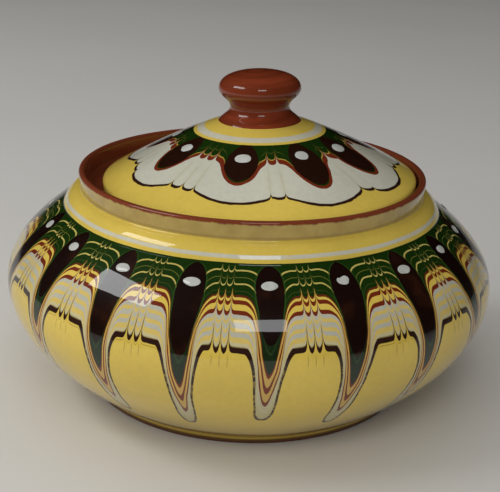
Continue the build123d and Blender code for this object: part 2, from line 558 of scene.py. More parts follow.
@dataclass(frozen=True)
class Wheel:
    """How a form comes off the potter's wheel.

    Attributes:
        segments: divisions round the axis.
        wobble: how far the wall wanders from a true circle, in millimetres.
        seed: which wander it has.
        centre: where the axis stands, in millimetres.
        lean: how far the piece leans down towards -X, in degrees.
        pivot: the point that it leans about, in millimetres.
    """

    segments: int = 256
    wobble: float = 0.25
    seed: float = 1.0
    centre: tuple[float, float, float] = (0.0, 0.0, 0.0)
    lean: float = 0.0
    pivot: tuple[float, float, float] = (0.0, 0.0, 0.0)

    def tree(self) -> GeometryTree:
        """Makes the tree that turns an outline round its axis and closes the seam.

        Returns:
            The tree, with its inputs named.
        """
        net = GeometryTree("turned form")
        segments = net.number("Segments", "NodeSocketInt")
        wobble = net.number("Wobble")
        seed = net.number("Seed")
        finish = net.number("Material", "NodeSocketMaterial")
        profile = net.entry.outputs["Geometry"]
        count = net.add("GeometryNodeAttributeDomainSize", component="MESH")
        net.join(profile, count.inputs["Geometry"])
        rows = Num(net, count.outputs["Point Count"])
        grid = net.add("GeometryNodeMeshGrid")
        net.feed(grid, Size_X=1.0, Size_Y=1.0, Vertices_X=segments + 1.0, Vertices_Y=rows)
        index = Num(net, net.add("GeometryNodeInputIndex").outputs[0])
        column = ((index + 0.5) / rows).floor()
        row = index - column * rows
        section = net.add("GeometryNodeSampleIndex", data_type="FLOAT_VECTOR", domain="POINT")
        here = net.add("GeometryNodeInputPosition").outputs[0]
        net.feed(section, Geometry=profile, Value=here, Index=row)
        mark = net.add("GeometryNodeInputNamedAttribute", data_type="FLOAT")
        net.feed(mark, Name="measure")
        along = net.add("GeometryNodeSampleIndex", data_type="FLOAT", domain="POINT")
        net.feed(along, Geometry=profile, Value=mark.outputs[0], Index=row)
        turn = column / segments
        angle = (turn - 0.5) * (2 * math.pi)
        radius, _, height = net.parts(section.outputs[0])
        place = net.vector(angle.sine() + seed * 3.1, angle.cosine(), height * 9.0)
        wander = (net.noise(place, 1.3, 1.0) - 0.5) * wobble * 2.0
        wide = radius + wander * (radius * 40.0).least(1.0)
        spot = net.vector(wide * angle.sine(), wide * angle.cosine() * -1.0, height)
        kept = net.add("GeometryNodeFieldOnDomain", data_type="FLOAT_VECTOR", domain="POINT")
        net.join(net.vector(turn, Num(net, along.outputs[0]), 0.0), kept.inputs[0])
        unwrap = net.add("GeometryNodeStoreNamedAttribute", data_type="FLOAT2", domain="CORNER")
        net.feed(unwrap, Geometry=grid.outputs["Mesh"], Name=UV_NAME, Value=kept.outputs[0])
        moved = net.add("GeometryNodeSetPosition")
        net.feed(moved, Geometry=unwrap.outputs[0], Position=spot)
        closed = net.add("GeometryNodeMergeByDistance")
        net.feed(closed, Geometry=moved.outputs[0], Distance=2e-6)
        net.close(closed.outputs[0], finish)
        return net

    def turn(self, name: str, outline: Outline, material: bpy.types.Material) -> bpy.types.Object:
        """Turns an outline into a finished piece.

        Args:
            name: the piece's name.
            outline: its half section.
            material: its finish.

        Returns:
            The piece.
        """
        mesh = bpy.data.meshes.new(f"{name}_section")
        verts = [(radius * MM, 0.0, height * MM) for radius, height in outline.points]
        mesh.from_pydata(verts, [(i, i + 1) for i in range(len(verts) - 1)], [])
        mark = mesh.attributes.new("measure", "FLOAT", "POINT")
        mark.data.foreach_set("value", [measure * MM for measure in outline.measures])
        base = bpy.data.objects.new(f"{name}_section", mesh)
        bpy.context.scene.collection.objects.link(base)
        values = {
            "Segments": self.segments,
            "Wobble": self.wobble * MM,
            "Seed": self.seed,
            "Material": material,
        }
        piece = self.tree().run(base, name, values)
        piece.data.transform(self.stand())
        outward(piece)
        return piece

    def stand(self) -> Matrix:
        """The move that stands a piece on its axis, with its lean."""
        pivot = Vector(self.pivot) * MM
        lean = Matrix.Rotation(math.radians(-self.lean), 4, "Y")
        return Matrix.Translation(pivot) @ lean @ Matrix.Translation(-pivot) @ Matrix.Translation(
            Vector(self.centre) * MM
        )


# Finishes


class Tint(Enum):
    """Colours of the clay and the slips, as fired, with painted shade colours for the collar, the crease below it and
    the foot's contact shadow.
    """

    YELLOW = (0.61, 0.445, 0.076)
    # Painted shade on the collar, lighter tint.
    SHADED_COLLAR = (0.44, 0.32, 0.085)
    PALE = (0.50, 0.49, 0.40)
    CREAM = (0.50, 0.44, 0.24)
    GREEN = (0.0075, 0.026, 0.0022)
    LEAF = (0.02, 0.07, 0.009)
    OLIVE = (0.17, 0.17, 0.03)
    RED = (0.145, 0.020, 0.006)
    DARK = (0.0085, 0.0030, 0.0020)
    BLACK = (0.026, 0.010, 0.0065)
    CLAY = (0.17, 0.036, 0.014)
    KNOB = (0.20, 0.034, 0.011)
    BARE = (0.085, 0.024, 0.011)
    EDGE = (0.34, 0.215, 0.022)
    THIN_DARK = (0.036, 0.010, 0.004)
    LID_DARK = (0.0165, 0.0052, 0.0026)
    STREAK = (0.075, 0.028, 0.012)
    TICK = (0.12, 0.07, 0.02)
    UNDERLINE = (0.16, 0.08, 0.02)
    # Painted contact shadow at the foot.
    FOOT_CONTACT_SHADOW = (0.045, 0.011, 0.004)
    # Painted shade on the collar, deeper tint.
    SHADED_COLLAR_DEEP = (0.36, 0.25, 0.06)
    # Painted shade in the crease at the collar's foot.
    CREVICE_SHADE = (0.20, 0.12, 0.02)
    SPECK = (0.05, 0.022, 0.012)
    BAND_PALE = (0.42, 0.405, 0.32)
    BAND_YELLOW = (0.57, 0.425, 0.12)
    BAND_RUST = (0.11, 0.018, 0.006)
    BAND_MOSS = (0.05, 0.07, 0.014)
    BAND_LINE = (0.47, 0.38, 0.10)
    NESTED_GREEN = (0.009, 0.020, 0.006)
    NESTED_MOSS = (0.02, 0.04, 0.012)
    NESTED_YELLOW = (0.50, 0.32, 0.075)
    NESTED_PALE = (0.48, 0.44, 0.27)
    NESTED_CREAM = (0.45, 0.40, 0.20)
    NESTED_TRACE = (0.22, 0.09, 0.05)
    LID_STREAK = (0.50, 0.44, 0.26)
    LID_RAKED = (0.34, 0.30, 0.16)
    LID_HALO = (0.40, 0.27, 0.05)
    DOT = (0.42, 0.43, 0.39)
    DOT_LIGHT = (0.47, 0.48, 0.45)
    TABLE = (0.62, 0.605, 0.575)


@dataclass(frozen=True)
class Glaze:
    """Clear gloss glaze over a coloured ground.

    Attributes:
        roughness: gloss of the ground seen through the glaze.
        coat_roughness: gloss of the glaze itself.
        ripple: depth of the glaze's slow waves, in metres.
        specks: how dark the iron specks are.
        seed: shifts the mottling.
    """

    roughness: float = 0.38
    coat_roughness: float = 0.022
    ripple: float = 0.00016
    specks: float = 0.75
    seed: float = 0.0

    def pour(self, paint: Paint, colour: object, relief: Optional[Num] = None) -> bpy.types.Material:
        """Finishes a material: mottling, iron specks, waves in the glaze and its gloss.

        Args:
            paint: the material being made.
            colour: the ground's colour.
            relief: height of the slip, from 0 to 1.

        Returns:
            The material.
        """
        shift = paint.add("ShaderNodeVectorMath", operation="ADD")
        paint.join(paint.place, shift.inputs[0])
        paint.join((self.seed, self.seed * 0.7, 0.0), shift.inputs[1])
        place = shift.outputs[0]
        broad = paint.noise(place, 22.0, 3.0, 0.55)
        fine = paint.noise(place, 420.0, 2.0, 0.6)
        tone = paint.span(broad, 0.25, 0.75, 0.90, 1.08) * paint.span(fine, 0.2, 0.8, 0.95, 1.05)
        ground = paint.scaled(colour, tone)
        cells = paint.add("ShaderNodeTexVoronoi", feature="F1")
        paint.feed(cells, Vector=place, Scale=75.0)
        pick, size, _ = paint.parts(cells.outputs["Color"])
        reach = paint.span(size, 0.0, 1.0, 0.02, 0.055)
        near = Num(paint, cells.outputs["Distance"]) / reach
        speck = near.rise(1.0, 0.6) * pick.rise(0.86, 0.88) * self.specks
        ground = paint.mix(speck, ground, Tint.SPECK.value)
        shader = paint.shader
        paint.join(ground, shader.inputs["Base Color"])
        paint.join(paint.span(fine, 0.3, 0.7, self.roughness - 0.05, self.roughness + 0.07), shader.inputs["Roughness"])
        shader.inputs["IOR"].default_value = 1.5
        shader.inputs["Specular IOR Level"].default_value = 0.06
        shader.inputs["Coat Weight"].default_value = 1.0
        shader.inputs["Coat Roughness"].default_value = self.coat_roughness
        shader.inputs["Coat IOR"].default_value = 1.52
        wave = paint.noise(place, 26.0, 1.5, 0.5)
        peel = paint.noise(place, 160.0, 1.0, 0.5)
        surface = paint.bump(wave + peel * 0.10, self.ripple)
        paint.join(surface, shader.inputs["Coat Normal"])
        if relief is None:
            paint.join(surface, shader.inputs["Normal"])
        else:
            paint.join(paint.bump(relief + fine * 0.15, 0.00012), shader.inputs["Normal"])
        return paint.material


@dataclass(frozen=True)
class Repeat:
    """How a motif repeats round the axis.

    Attributes:
        count: how many there are.
        phase: where the one nearest the front stands, in degrees from -Y towards +X.
        stray: how far each one strays from its even place, as a share of the spacing.
        waves: how many times the stray swings to and fro round the axis.
        start: where that swing starts, in radians.
    """

    count: int
    phase: float
    stray: float
    waves: int
    start: float

    def sway(self, number: Num, waves: int, start: float) -> Num:
        """A slow swing from -1 to 1 that differs from motif to motif.

        Args:
            number: the motif's number.
            waves: whole swings round the axis.
            start: where the swing starts, in radians.

        Returns:
            The swing at this motif.
        """
        return (number * (2 * math.pi * waves / self.count) + start).sine()

    def cell(self, turn: Num) -> tuple[Num, Num, Num]:
        """Where a point lies among the motifs.

        Args:
            turn: turn round the axis, 0 to 1, with the front at one half.

        Returns:
            Place between motifs without stray, the motif's number, and the place across it.
        """
        along = (turn * 360.0 - (180.0 + self.phase)) / (360.0 / self.count)
        index = (along + 0.5).floor()
        number = index.modulo(self.count)
        stray = self.sway(number, self.waves, self.start) * self.stray
        return along, number, along - index - stray


@dataclass(frozen=True)
class Comb:
    """A comb drawn up through wet slip between two tongues.

    Attributes:
        teeth: marks on each side of the middle one.
        spacing: distance between marks, as a share of the motif spacing.
        sharp: half width of a mark's point, in millimetres.
        gauge: the motif spacing in millimetres where the marks are measured.
        sag: how far the slip sags between the marks, in millimetres.
    """

    teeth: int = 1
    spacing: float = 0.084
    sharp: float = 0.32
    gauge: float = 37.0
    sag: float = 1.0

    def pull(self, along: Num, wander: Num) -> tuple[Num, Num, Num]:
        """How the comb drags the bands.

        Args:
            along: place between motifs.
            wander: small random shift of the comb, in spacings of the motif.

        Returns:
            The drag at this point (1 on a mark), the sag in millimetres, and distance from a mark.
        """
        middle = along - along.floor() - 0.5 - wander
        steps = middle / self.spacing
        nearest = (steps + 0.5).floor().most(-float(self.teeth)).least(float(self.teeth))
        distance = (steps - nearest).size() * (self.spacing * self.gauge)
        drag = (1.0 / (distance / self.sharp + 1.0)).power(1.55)
        sag = steps.size().rise(self.teeth + 1.1, self.teeth * 0.4) * self.sag
        return drag, sag, distance


@dataclass(frozen=True)
class PotSlip:
    """Combed slip on the pot: bands dragged down into tongues and up by a comb.

    Heights are distances down the wall in millimetres, and the shoulder's is 20.4. Each pull runs from a
    tongue's middle to the middle of the gap, and is a share of the longest pull.

    Attributes:
        glaze: the clear glaze over it.
        tongues: how the tongues stand round the pot.
        comb: the comb drawn up between them.
        ring: the pale ring on the roll.
        green_from: where the green begins.
        plateau: where green, red and pale bands end in a gap.
        green_pull: how far the green is dragged down.
        red_pull: how far the red is dragged down.
        black_pull: how far the black line is dragged down.
        laid_end: past the last band that was laid.
        longest_pull: how far a plain tongue is dragged.
        line_width: width of the black line, as a share of the spacing.
        contact_shadow_height: height above the table below which the foot gets a painted contact shadow.
        drop_width: half width of a dark drop down its length.
        drop_top: where a drop begins.
        laid_top: where the bands begin.
        drop_reach: how long a drop is.
        drop_half: its greatest half width, as a share of the spacing.
    """

    glaze: Glaze = Glaze()
    tongues: Repeat = Repeat(19, 4.6, 0.045, 2, 2.62)
    comb: Comb = Comb()
    ring: Point = (15.9, 17.7)
    green_from: float = 19.5
    plateau: tuple[float, float, float] = (37.0, 46.4, 57.9)
    green_pull: tuple[Point, ...] = (
        (0.0, 0.785), (0.05, 0.75), (0.10, 0.685), (0.129, 0.63), (0.167, 0.54), (0.205, 0.43), (0.257, 0.325),
        (0.33, 0.195), (0.42, 0.083), (0.60, 0.006), (1.0, 0.0),
    )
    red_pull: tuple[Point, ...] = (
        (0.0, 0.975), (0.04, 0.95), (0.085, 0.87), (0.13, 0.765), (0.205, 0.59), (0.275, 0.35), (0.32, 0.19),
        (0.40, 0.06), (0.5, 0.01), (0.6, 0.0), (1.0, 0.0),
    )
    black_pull: tuple[Point, ...] = (
        (0.0, 0.985), (0.045, 0.977), (0.085, 0.957), (0.125, 0.922), (0.16, 0.87), (0.183, 0.80), (0.197, 0.72),
        (0.212, 0.60), (0.25, 0.37), (0.30, 0.215), (0.36, 0.10), (0.42, 0.035), (0.50, 0.0), (1.0, 0.0),
    )
    laid_end: float = 64.0
    longest_pull: float = 41.0
    line_width: float = 0.022
    contact_shadow_height: float = 2.5
    drop_width: tuple[Point, ...] = (
        (0.0, 0.0), (0.03, 0.34), (0.08, 0.60), (0.17, 0.82), (0.31, 0.90), (0.45, 0.84), (0.62, 0.70), (0.76, 0.58),
        (0.88, 0.42), (0.95, 0.27), (1.0, 0.0),
    )
    drop_top: float = 20.1
    laid_top: float = 18.9
    drop_reach: float = 36.7
    drop_half: float = 0.2

    def material(self) -> bpy.types.Material:
        """Makes the pot's slip and glaze.

        Returns:
            The material.
        """
        paint = Paint("combed_slip_pot")
        turn, depth = paint.uv()
        place = paint.place
        slow = paint.noise(place, 55.0, 1.0)
        quick = paint.noise(place, 380.0, 2.0)
        down = depth + (slow - 0.5) * 1.6 + (quick - 0.5) * 0.35
        along, number, across = self.tongues.cell(turn)
        column = along.floor().modulo(self.tongues.count)
        fate = paint.chance(column + 61.0)
        pull = self.tongues.sway(number, 6, -math.pi / 2) * 0.16 + 1.17
        lean = (self.tongues.sway(number, 3, 3.555) * 0.12 - 0.03) * paint.span(down, 45.0, 110.0, 0.0, 1.0)
        across = across - lean + (paint.noise(place, 75.0, 1.0) - 0.5) * 0.03
        side = across.size()
        drag, sag, gap = self.comb.pull(along, (fate - 0.5) * 0.06)
        free = side.rise(0.20, 0.30)
        drag = drag * free
        lift = drag * paint.span(down, 22.0, 60.0, 3.2, 11.0) - sag * free
        worked = down + lift
        reach = self.longest_pull
        green_end = paint.curve(side * 2.0, self.green_pull) * pull * reach + self.plateau[0]
        red_end = paint.curve(side * 2.0, self.red_pull) * pull * reach + self.plateau[1]
        pale_end = paint.curve(side * 2.0, self.black_pull) * pull * reach + self.plateau[2]
        top = self.laid_top
        first = ((worked - top) / (green_end - top)).unit() * (self.plateau[0] - top)
        second = ((worked - green_end) / (red_end - green_end)).unit() * (self.plateau[1] - self.plateau[0])
        third = ((worked - red_end) / (pale_end - red_end)).unit() * (self.plateau[2] - self.plateau[1])
        beyond = worked - pale_end
        laid = first + second + third + top
        colour = self.bands(paint, laid)
        colour = self.tongue(paint, colour, laid, side)
        streak = gap.rise(0.30, 0.08) * down.inside(48.0, 58.5, 1.6) * free
        streak = streak * paint.span(down, 47.0, 57.0, 0.35, 0.85)
        colour = paint.mix(streak, colour, Tint.STREAK.value)
        outer = paint.curve((side - self.line_width).unit() * 2.0, self.black_pull) * pull * reach + self.plateau[2]
        thick = outer - pale_end + paint.smooth(side, 0.13, 0.25, 1.5, 2.5)
        colour = self.black_edge(paint, colour, beyond, side, gap, down, fate, thick)
        colour = self.green_veins(paint, colour, laid, turn, depth)
        drop = self.drop(paint, side, down, pull)
        rim = drop.rise(-0.022, -0.012) * drop.rise(0.004, -0.006) * down.rise(52.0, 40.0)
        colour = paint.mix(rim * 0.8, colour, Tint.LEAF.value)
        dark = paint.mix(paint.noise(place, 60.0, 2.0).rise(0.52, 0.85), Tint.DARK.value, Tint.THIN_DARK.value)
        inside = drop.rise(-0.004, 0.004)
        colour = paint.mix(inside, colour, dark)
        colour = self.shoulder(paint, colour, depth, down)
        relief = inside * 0.7 + beyond.rise(0.3, -0.3) * 0.3
        return self.glaze.pour(paint, colour, relief)

    def bands(self, paint: Paint, laid: Num) -> bpy.types.NodeSocket:
        """Colours of the bands as they were first laid, from the shoulder down."""
        laid_down = (
            (0.0, Tint.GREEN), (22.7, Tint.BAND_LINE), (23.3, Tint.GREEN), (26.4, Tint.OLIVE), (26.7, Tint.GREEN),
            (29.3, Tint.BAND_LINE), (30.1, Tint.GREEN), (33.2, Tint.BAND_MOSS), (33.5, Tint.GREEN),
            (35.1, Tint.BAND_RUST), (36.1, Tint.YELLOW), (37.5, Tint.RED), (39.5, Tint.YELLOW), (42.2, Tint.RED), (44.2, Tint.BAND_PALE),
            (46.2, Tint.BAND_YELLOW), (47.8, Tint.BAND_PALE), (50.1, Tint.BAND_YELLOW), (51.9, Tint.BAND_PALE),
            (54.0, Tint.BAND_YELLOW), (56.1, Tint.CREAM),
        )
        stops = [(start, slip.value) for start, slip in laid_down]
        return paint.bands(laid, stops, self.laid_end)

    def tongue(self, paint: Paint, colour: object, laid: Num, side: Num) -> bpy.types.NodeSocket:
        """Bands as they lie inside a tongue, where the stripes close up into nested points."""
        laid_down = (
            (0.0, Tint.NESTED_GREEN), (33.3, Tint.NESTED_MOSS), (33.8, Tint.NESTED_GREEN), (36.9, Tint.RED),
            (37.8, Tint.NESTED_YELLOW), (40.2, Tint.RED), (42.2, Tint.NESTED_YELLOW), (44.8, Tint.RED),
            (46.9, Tint.NESTED_YELLOW),
        )
        stops = [(start, slip.value) for start, slip in laid_down]
        cream = paint.mix(laid.rise(47.0, 57.0), Tint.NESTED_PALE.value, Tint.NESTED_CREAM.value)
        nested = paint.mix(laid.rise(46.8, 47.2), paint.bands(laid, stops, self.laid_end), cream)
        trace = laid.inside(48.5, 48.9, 0.12) * 0.45
        nested = paint.mix(trace, nested, Tint.NESTED_TRACE.value)
        return paint.mix(side.rise(0.20, 0.115) * laid.rise(26.0, 30.0), colour, nested)

    def black_edge(
        self, paint: Paint, colour: object, beyond: Num, side: Num, gap: Num, down: Num, fate: Num, thick: Num
    ) -> bpy.types.NodeSocket:
        """Yellow ground below the pattern, and the black line that edges it.

        Args:
            paint: the material being made.
            colour: the pattern's colour so far.
            beyond: distance below the pale band, in millimetres.
            side: place across a tongue.
            gap: distance from a comb mark, in millimetres.
            down: distance down the wall.
            fate: a random number for the column.
            thick: how tall the black line is here, in millimetres.

        Returns:
            The colour with ground and line.
        """
        ground = Tint.YELLOW.value
        ticks = gap.rise(0.28, 0.1) * down.inside(61.5, 66.0, 1.5) * side.rise(0.3, 0.36) * 0.45
        ground = paint.mix(ticks, ground, Tint.TICK.value)
        under = (beyond - thick - 1.0).size().rise(0.22, 0.1) * side.rise(0.2, 0.26) * fate.rise(0.35, 0.6) * 0.6
        ground = paint.mix(under, ground, Tint.UNDERLINE.value)
        colour = paint.mix(beyond.rise(0.0, 0.12), colour, ground)
        beaded = paint.noise(paint.place, 620.0, 1.0).rise(0.3, 0.55) * 0.35 + 0.65
        solid = paint.smooth(side, 0.13, 0.17, 0.0, 1.0)
        soft = paint.smooth(side, 0.2, 0.3, 0.15, 0.5)
        line = ((beyond + soft) / (soft * 1.7)).unit() * (thick - beyond).rise(-0.12, 0.12)
        return paint.mix(line * (beaded.most(solid)), colour, Tint.BLACK.value)

    def green_veins(self, paint: Paint, colour: object, laid: Num, turn: Num, depth: Num) -> bpy.types.NodeSocket:
        """Fine lighter strands that the comb leaves in the green."""
        strands = paint.noise(paint.vector(turn * 900.0, depth * 0.12, 0.0), 1.0, 2.0, 0.6)
        amount = strands.rise(0.55, 0.8) * laid.rise(36.6, 36.2) * 0.35
        return paint.mix(amount, colour, Tint.LEAF.value)

    def drop(self, paint: Paint, side: Num, down: Num, pull: Num) -> Num:
        """How far inside the dark drop a point is; positive inside."""
        fall = (down - self.drop_top) / ((pull * 0.85 + 0.15) * self.drop_reach)
        half = paint.curve(fall.unit(), self.drop_width) * self.drop_half
        ends = fall.inside(0.0, 0.99, 0.004)
        return (half - side) * ends - (1.0 - ends) * 0.2

    def shoulder(self, paint: Paint, colour: object, depth: Num, down: Num) -> bpy.types.NodeSocket:
        """Plain yellow roll with its pale ring, the collar in painted shade, a painted shade band in the crease at its
        foot, the red crest and the foot with a painted contact shadow.
        """
        yellow = Tint.YELLOW.value
        wavy = down * 0.35 + depth * 0.65
        colour = paint.mix(wavy.rise(self.green_from + 0.1, self.green_from - 0.1), colour, yellow)
        ring = wavy.inside(self.ring[0], self.ring[1], 0.14)
        thin = paint.noise(paint.place, 260.0, 2.0).rise(0.2, 0.45)
        colour = paint.mix(ring * (thin * 0.35 + 0.6), colour, Tint.PALE.value)
        # Painted shade: the collar is painted a darker khaki than the yellow, mottled between two shaded tints.
        collar_shade = paint.mix(paint.noise(paint.place, 120.0, 3.0).rise(0.3, 0.75), Tint.SHADED_COLLAR.value, Tint.SHADED_COLLAR_DEEP.value)
        colour = paint.mix(depth.rise(8.6, 7.4), colour, collar_shade)
        # Painted shade: a darker band in the crease at the collar's foot.
        colour = paint.mix(depth.inside(6.9, 8.3, 0.5) * 0.45, colour, Tint.CREVICE_SHADE.value)
        edge = depth + (paint.noise(paint.place, 330.0, 3.0) - 0.5) * 2.0
        colour = paint.mix(edge.rise(1.5, 0.5), colour, Tint.CLAY.value)
        colour = paint.mix((depth + (down - depth) * 0.5).rise(124.0, 126.5) * 0.8, colour, Tint.EDGE.value)
        # Painted contact shadow: the foot is darkened where it stands within a few millimetres of the table.
        height = paint.parts(paint.place)[2] * 1000.0
        ground = height.rise(self.contact_shadow_height + 0.5, self.contact_shadow_height - 0.3)
        return paint.mix(ground * 0.9, colour, Tint.FOOT_CONTACT_SHADOW.value)


@dataclass(frozen=True)
class LidSlip:
    """Slip on the lid: a green band dragged out into petals, over pale slip with a wavy black edge.

    Places are distances from the lid's axis in millimetres.

    Attributes:
        glaze: the clear glaze over it.
        petals: how the petals stand round the lid.
        comb: the comb drawn in between them.
        ring: the pale ring.
        green_from: where the green begins.
        red_from: where the red outline ends in a gap.
        petal_pull: how far the green is dragged out, from a petal's middle to the gap's.
        petal_reach: how far a plain petal is dragged.
        off_centre: how far the pattern stands off the axis, and which way in radians.
        outline_width: width of the red outline, from a petal's middle to the gap's.
        wave_from: where the wavy edge stands in a gap.
        wave: shape of one wave.
        wave_reach: how far a wave swings out.
        drop_width: half width of a dark drop along its length.
        drop_reach: how long a drop is.
        drop_half: its greatest half width, as a share of the spacing.
    """

    glaze: Glaze = Glaze(seed=3.0)
    petals: Repeat = Repeat(9, -14.4, 0.12, 2, 0.937)
    comb: Comb = Comb(spacing=0.15, sharp=0.42, gauge=31.0, sag=0.5)
    ring: Point = (27.1, 30.6)
    green_from: float = 32.3
    red_from: float = 44.6
    petal_pull: tuple[Point, ...] = (
        (0.0, 1.0), (0.1, 0.97), (0.22, 0.86), (0.36, 0.66), (0.48, 0.42), (0.58, 0.2), (0.68, 0.06), (0.8, 0.0),
        (1.0, 0.0),
    )
    petal_reach: float = 15.6
    off_centre: Point = (2.6, math.pi + math.radians(75.0))
    outline_width: tuple[Point, ...] = ((0.0, 0.34), (0.25, 0.42), (0.5, 0.86), (0.62, 0.74), (0.75, 0.58), (1.0, 0.56))
    wave_from: float = 63.4
    wave: tuple[Point, ...] = (
        (0.0, 1.0), (0.2, 0.95), (0.4, 0.76), (0.6, 0.42), (0.78, 0.13), (0.9, 0.02), (1.0, 0.0),
    )
    wave_reach: float = 4.7
    drop_width: tuple[Point, ...] = (
        (0.0, 0.30), (0.06, 0.52), (0.2, 0.84), (0.4, 1.0), (0.58, 0.98), (0.76, 0.78), (0.9, 0.45), (0.97, 0.18),
        (1.0, 0.0),
    )
    drop_reach: float = 25.6
    drop_half: float = 0.25

    def material(self) -> bpy.types.Material:
        """Makes the lid's slip and glaze.

        Returns:
            The material.
        """
        paint = Paint("combed_slip_lid")
        turn, depth = paint.uv()
        place = paint.place
        down = depth + (paint.noise(place, 60.0, 1.0) - 0.5) * 1.6 + (paint.noise(place, 380.0, 2.0) - 0.5) * 0.4
        aside = (turn * (2 * math.pi) - self.off_centre[1]).cosine() * self.off_centre[0]
        down = down - aside * paint.span(depth, 40.0, 58.0, 0.0, 1.0)
        along, number, across = self.petals.cell(turn)
        luck = self.petals.sway(number, 3, -math.pi / 2) * 0.5 + 0.5
        fate = paint.chance(along.floor().modulo(self.petals.count) + 23.0)
        across = across + (paint.noise(place, 60.0, 1.0) - 0.5) * 0.05
        side = across.size()
        drag, sag, _ = self.comb.pull(along, (fate - 0.5) * 0.08)
        free = side.rise(0.24, 0.34)
        drag = drag * free
        worked = down + drag * 5.6 - sag * free * 1.6
        petal = paint.curve(side * 2.0, self.petal_pull) * (luck * 0.19 + 0.84) * self.petal_reach
        red_end = petal + self.red_from
        wide = paint.curve(side * 2.0, self.outline_width) * 5.0
        inside = red_end - worked
        streaks = paint.noise(paint.vector(turn * 420.0, depth * 0.05, 0.0), 1.0, 2.0, 0.6)
        pale = paint.mix(streaks.rise(0.5, 0.8) * 0.3, Tint.PALE.value, Tint.LID_STREAK.value)
        rake = (drag * 1.4).unit() * down.inside(48.0, 63.0, 4.0) * 0.4
        pale = paint.mix(rake, pale, Tint.LID_RAKED.value)
        colour = paint.mix(inside.rise(-0.1, 0.1), pale, Tint.RED.value)
        colour = paint.mix((inside - wide).rise(-0.1, 0.1) * side.rise(0.16, 0.3), colour, Tint.LID_HALO.value)
        colour = paint.mix((inside - wide - 0.6 * side.rise(0.16, 0.3)).rise(-0.1, 0.1), colour, Tint.GREEN.value)
        vein = inside.inside(7.1, 7.6, 0.12) * side.rise(0.26, 0.34) * 0.3
        colour = paint.mix(vein, colour, Tint.OLIVE.value)
        drop = self.drop(paint, side, down, luck)
        colour = paint.mix(drop.rise(-0.004, 0.004), colour, Tint.LID_DARK.value)
        wave_end = paint.curve(side * 2.0, self.wave) * (luck * 0.3 + 0.75) * self.wave_reach + self.wave_from
        beyond = down + drag * 5.0 * self.tooth(fate) - wave_end
        yellow = Tint.YELLOW.value
        colour = paint.mix(beyond.rise(-0.1, 0.1), colour, yellow)
        thick = (paint.noise(place, 150.0, 1.0)).rise(0.2, 0.8) * 0.5 + 1.15
        line = beyond.rise(-0.2, 0.05) * (thick - beyond).rise(-0.15, 0.15)
        colour = paint.mix(line, colour, Tint.BLACK.value)
        calm = depth * 0.75 + down * 0.25
        colour = paint.mix(calm.rise(self.green_from + 0.1, self.green_from - 0.1), colour, yellow)
        ring = calm.inside(self.ring[0], self.ring[1], 0.15)
        colour = paint.mix(ring * 0.92, colour, Tint.PALE.value)
        colour = paint.mix(depth.rise(79.6, 81.0), colour, Tint.CLAY.value)
        relief = drop.rise(-0.004, 0.004) * 0.6 + beyond.rise(0.2, -0.2) * 0.4
        return self.glaze.pour(paint, colour, relief)

    def tooth(self, fate: Num) -> Num:
        """How deep the comb bites in one gap, from its random number."""
        return fate * 0.6 + 0.4

    def drop(self, paint: Paint, side: Num, down: Num, luck: Num) -> Num:
        """How far inside the dark drop a point is; positive inside."""
        fall = (down - self.green_from) / ((luck * 0.12 + 0.9) * self.drop_reach)
        half = paint.curve(fall.unit(), self.drop_width) * self.drop_half
        ends = fall.inside(0.0, 0.995, 0.004)
        return (half - side) * ends - (1.0 - ends) * 0.2


@dataclass(frozen=True)
class ClayGlaze:
    """Red-brown clay under the clear glaze, bare where the pot stood in the kiln.

    Attributes:
        name: the material's name.
        tint: the clay's colour.
        glaze: the clear glaze over it.
        bare_below: height in millimetres below which the clay is bare.
    """

    name: str = "glazed_clay"
    tint: Tint = Tint.CLAY
    glaze: Glaze = Glaze(specks=0.5, seed=6.0)
    bare_below: float = 1.2

    def material(self) -> bpy.types.Material:
        """Makes the clay's finish.

        Returns:
            The material.
        """
        paint = Paint(self.name)
        x, y, z = paint.parts(paint.place)
        radius = (x * x + y * y).power(0.5)
        rings = paint.noise(paint.vector(radius * 260.0, z * 260.0, 0.0), 1.0, 2.0, 0.5)
        deep = tuple(channel * 0.62 for channel in self.tint.value)
        colour = paint.mix(rings.rise(0.25, 0.8), self.tint.value, deep)
        pool = paint.noise(paint.place, 48.0, 3.0).rise(0.5, 0.85) * 0.5
        colour = paint.mix(pool, colour, deep)
        colour = paint.mix((z * 1000.0).rise(self.bare_below + 1.6, self.bare_below), colour, Tint.BARE.value)
        return self.glaze.pour(paint, colour)


@dataclass(frozen=True)
class DotSlip:
    """Pale slip of the raised dots.

    Attributes:
        glaze: the clear glaze over them.
    """

    glaze: Glaze = Glaze(specks=0.2, seed=9.0, ripple=0.00006)

    def material(self) -> bpy.types.Material:
        """Makes the dots' finish.

        Returns:
            The material.
        """
        paint = Paint("pale_dot_slip")
        cloud = paint.noise(paint.place, 300.0, 2.0).rise(0.25, 0.8)
        return self.glaze.pour(paint, paint.mix(cloud, Tint.DOT.value, Tint.DOT_LIGHT.value))


@dataclass(frozen=True)
class TableFinish:
    """Plain pale table top.

    Attributes:
        tint: its colour.
    """

    tint: Colour = Tint.TABLE.value

    def material(self) -> bpy.types.Material:
        """Makes the table's finish.

        Returns:
            The material.
        """
        paint = Paint("pale_table")
        cloud = paint.noise(paint.place, 3.0, 4.0)
        tone = paint.span(cloud, 0.2, 0.8, 0.96, 1.03)
        paint.join(paint.scaled(self.tint, tone), paint.shader.inputs["Base Color"])
        paint.shader.inputs["Roughness"].default_value = 0.55
        return paint.material


# Pieces


